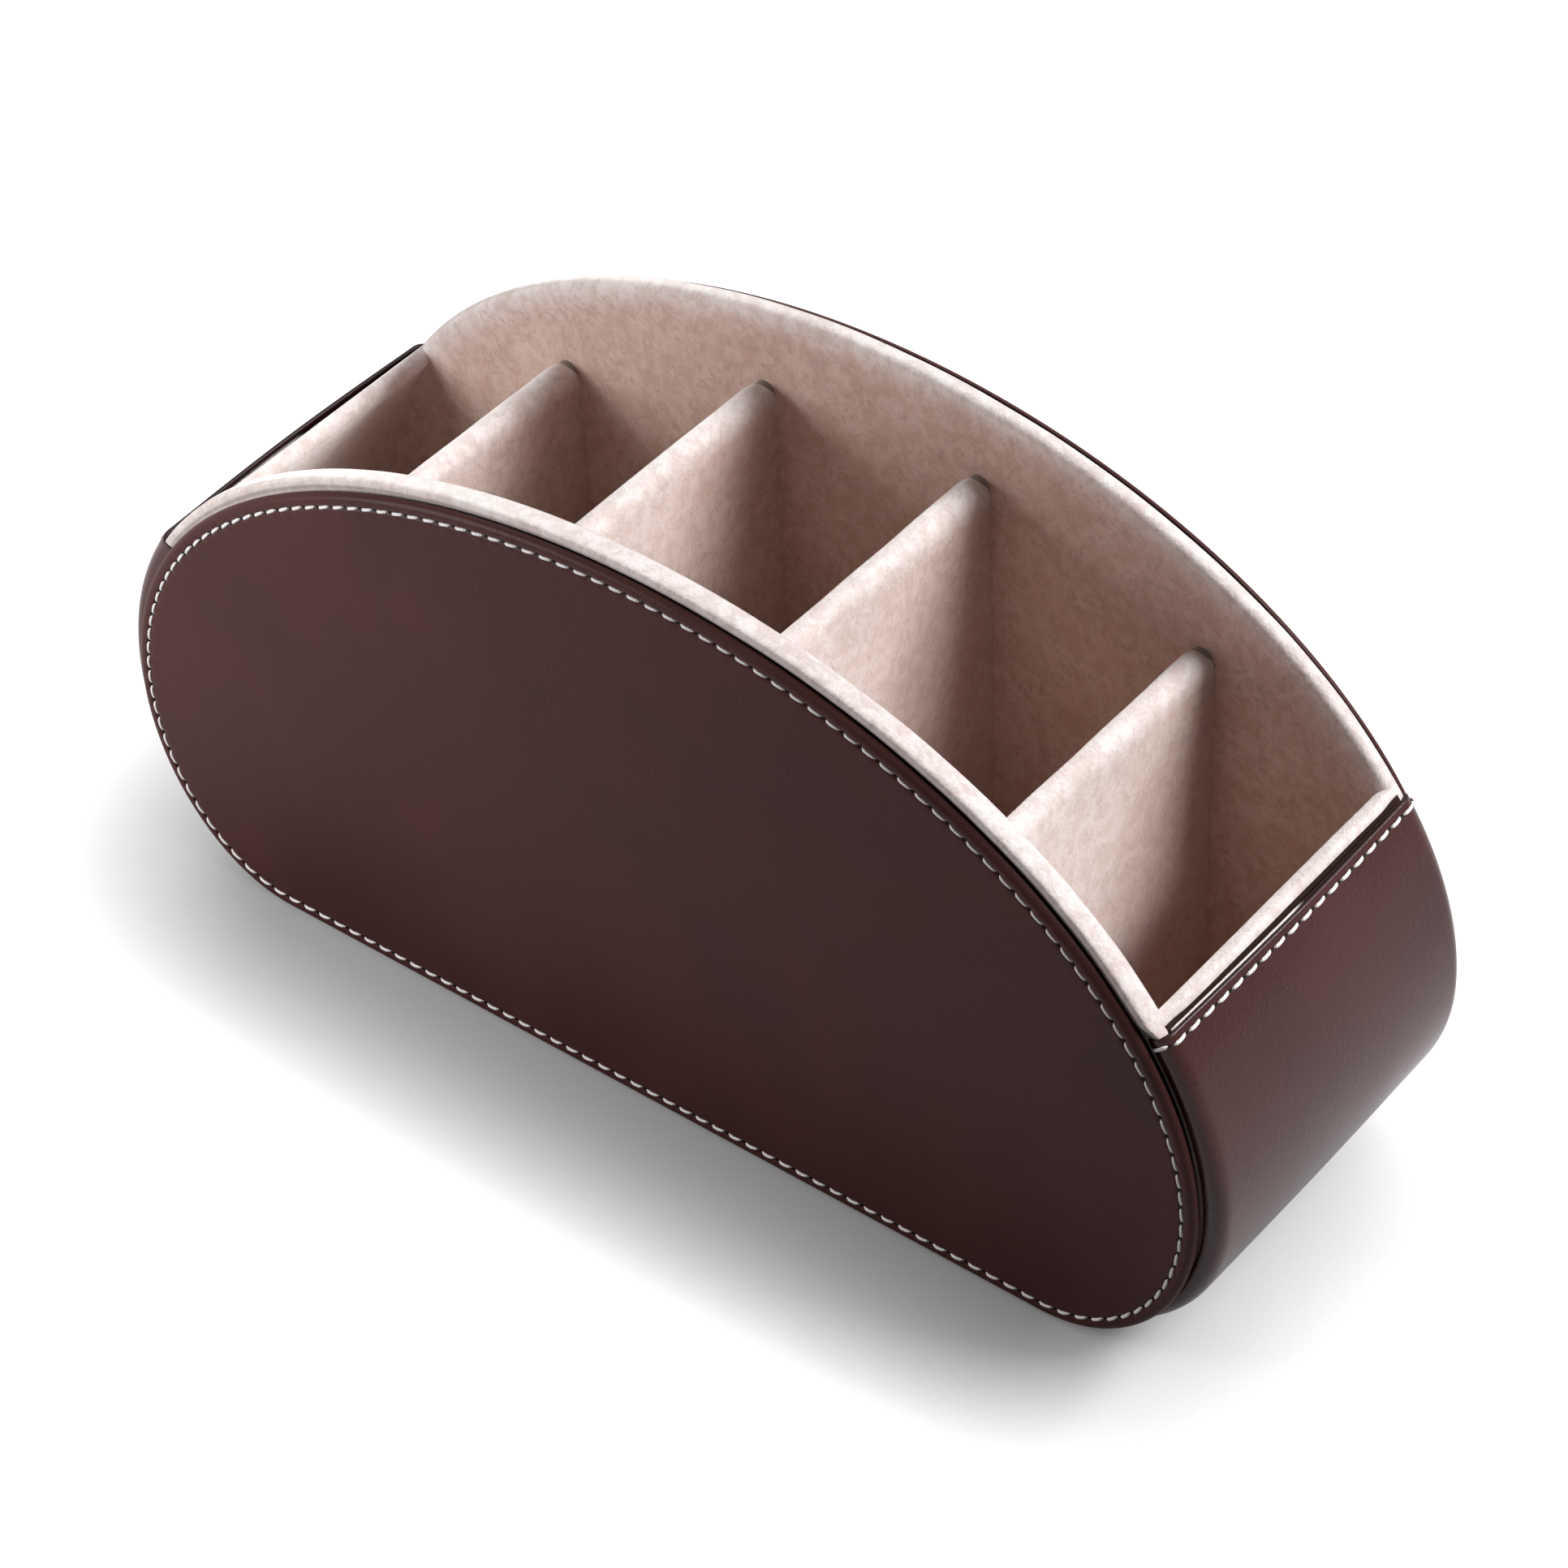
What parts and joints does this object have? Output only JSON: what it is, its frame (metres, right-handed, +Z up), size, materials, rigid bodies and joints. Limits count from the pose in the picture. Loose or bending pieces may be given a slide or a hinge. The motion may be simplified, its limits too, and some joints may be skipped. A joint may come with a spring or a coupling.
{
  "type": "desk caddy",
  "caption": "Dome-fronted desk caddy: open suede-lined compartments side by side between stitched leather panels, joined by a leather band on a flat base.",
  "frame": {"origin": "on the table, under the middle of the body", "axes": "+X along the length to the right, +Y from the front panel to the rear panel, +Z up"},
  "size_m": [0.2476, 0.0794, 0.1264],
  "materials": {
    "board": "stiff board, hidden",
    "panel_leather": "smooth, dark brown, satin",
    "band_leather": "smooth, reddish brown, satin",
    "suede": "short nap, beige brown",
    "lining": "thin, pale beige",
    "stitching": "off-white thread",
    "felt": "dark felt"
  },
  "bodies": {
    "root": {"band_leather": "band_leather", "band_lining": "lining", "base_felt": "felt", "divider_board_1": "board", "divider_board_2": "board", "divider_board_3": "board", "divider_board_4": "board", "divider_suede_1": "suede", "divider_suede_2": "suede", "divider_suede_3": "suede", "divider_suede_4": "suede", "front_panel_board": "board", "front_panel_leather": "panel_leather", "front_panel_stitching": "stitching", "front_wall_board": "board", "front_wall_suede": "suede", "left_hem_stitching": "stitching", "rear_panel_board": "board", "rear_panel_leather": "panel_leather", "rear_panel_stitching": "stitching", "rear_wall_board": "board", "rear_wall_suede": "suede", "right_hem_stitching": "stitching", "wrap_board": "board", "wrap_suede": "suede"}
  },
  "joints": []
}
